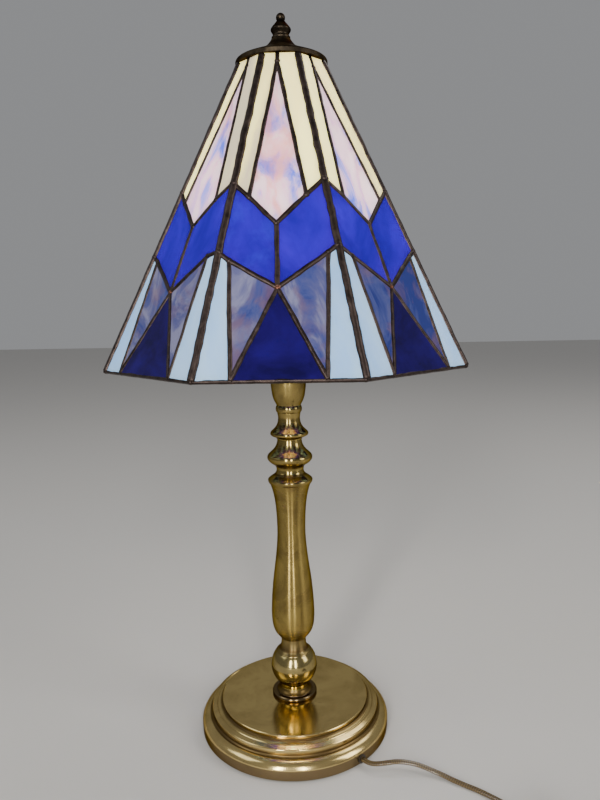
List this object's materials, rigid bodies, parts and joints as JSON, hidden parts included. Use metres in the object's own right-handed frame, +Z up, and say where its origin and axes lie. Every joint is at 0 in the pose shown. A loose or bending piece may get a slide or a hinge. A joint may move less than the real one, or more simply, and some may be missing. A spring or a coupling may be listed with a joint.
{
  "type": "leaded glass table lamp",
  "caption": "Table lamp with a turned brass candlestick stem on a stepped round base and an octagonal leaded-glass shade held by a harp and finial.",
  "frame": {"origin": "centre of the felt's underside, on the table", "axes": "+Z up along the stem; -Y towards the viewer, square to a flat face of the shade; +X to the viewer's right; the cord leaves the rim between +X and -Y"},
  "size_m": [0.3838, 0.3873, 0.6528],
  "materials": {
    "polished_brass": "polished, lightly tarnished",
    "patina_bronze": "dark bronze patina, satin",
    "solder": "bronze-patinated solder, slightly lumpy",
    "cream_glass": "opalescent sheet glass",
    "kite_glass": "streaky opalescent sheet glass",
    "cobalt_glass": "cathedral sheet glass",
    "pale_glass": "opalescent sheet glass",
    "mottled_glass": "mottled opalescent sheet glass",
    "navy_glass": "streaky dark sheet glass",
    "felt": "matte",
    "iron": "rough",
    "steel": "bright plated",
    "phenolic": "satin",
    "bulb_glass": "frosted",
    "flex": "translucent",
    "dark_plastic": "smooth"
  },
  "bodies": {
    "lamp": {"felt_pad": "felt", "base_shell": "polished_brass", "base_weight": "iron", "base_washer": "steel", "base_nut": "steel", "threaded_tube": "steel", "foot_flange": "polished_brass", "stem_ball": "polished_brass", "neck_skirt": "polished_brass", "column": "polished_brass", "lower_knop": "polished_brass", "middle_knop": "polished_brass", "upper_knop": "polished_brass", "bead_ring": "polished_brass", "socket_cup": "polished_brass", "harp_saddle": "polished_brass", "harp_bow": "polished_brass", "harp_stud": "polished_brass", "lampholder_cap": "polished_brass", "lampholder_insert": "phenolic", "terminal_screws": "polished_brass", "lampholder_shell": "polished_brass", "screw_shell": "steel", "centre_contact": "polished_brass", "inner_flex": "flex", "cord_grommet": "dark_plastic", "cord_tube": "flex", "cord_coil": "flex", "cord_tie": "phenolic", "plug_body": "flex", "plug_pins": "steel"},
    "switch": {"switch_bar": "phenolic"},
    "left_sleeve": {"harp_sleeve_left": "polished_brass"},
    "right_sleeve": {"harp_sleeve_right": "polished_brass"},
    "bulb_tip": {"bulb_tip": "steel"},
    "bulb": {"bulb_cap": "steel", "bulb_glass": "bulb_glass"},
    "shade": {"top_ring": "patina_bronze", "rim_bead": "solder", "solder_network": "solder", "cream_strips": "cream_glass", "kite_panes": "kite_glass", "cobalt_panes": "cobalt_glass", "pale_strips": "pale_glass", "mottled_panes": "mottled_glass", "navy_panes": "navy_glass", "vase_cap": "patina_bronze"},
    "finial_washer": {"finial_washer": "patina_bronze"},
    "finial": {"finial": "patina_bronze"}
  },
  "joints": [
    {"name": "switch_push", "type": "slide", "parent": "lamp", "child": "switch", "axis": [0, 1, 0], "range_m": [0, 0.008]},
    {"name": "left_sleeve_lift", "type": "slide", "parent": "lamp", "child": "left_sleeve", "axis": [0, 0, 1], "range_m": [0, 0.014]},
    {"name": "right_sleeve_lift", "type": "slide", "parent": "lamp", "child": "right_sleeve", "axis": [0, 0, 1], "range_m": [0, 0.014]},
    {"name": "bulb_rise", "type": "slide", "parent": "lamp", "child": "bulb_tip", "axis": [0, 0, 1], "range_m": [0, 0.022]},
    {"name": "bulb_turn", "type": "hinge", "parent": "bulb_tip", "child": "bulb", "pos_m": [0, 0, 0.4], "axis": [0, 0, 1], "range_deg": [0, 2160]},
    {"name": "shade_swivel", "type": "hinge", "parent": "lamp", "child": "shade", "pos_m": [0, 0, 0.626], "axis": [0, 0, 1], "continuous": true},
    {"name": "finial_rise", "type": "slide", "parent": "lamp", "child": "finial_washer", "axis": [0, 0, 1], "range_m": [0, 0.0091]},
    {"name": "finial_turn", "type": "hinge", "parent": "finial_washer", "child": "finial", "pos_m": [0, 0, 0.638], "axis": [0, 0, 1], "range_deg": [0, 3240]}
  ],
  "couplings": [
    {"joint": "bulb_rise", "follows": "bulb_turn", "m_per_rad": 0.00057773},
    {"joint": "finial_rise", "follows": "finial_turn", "m_per_rad": 0.00015915}
  ]
}
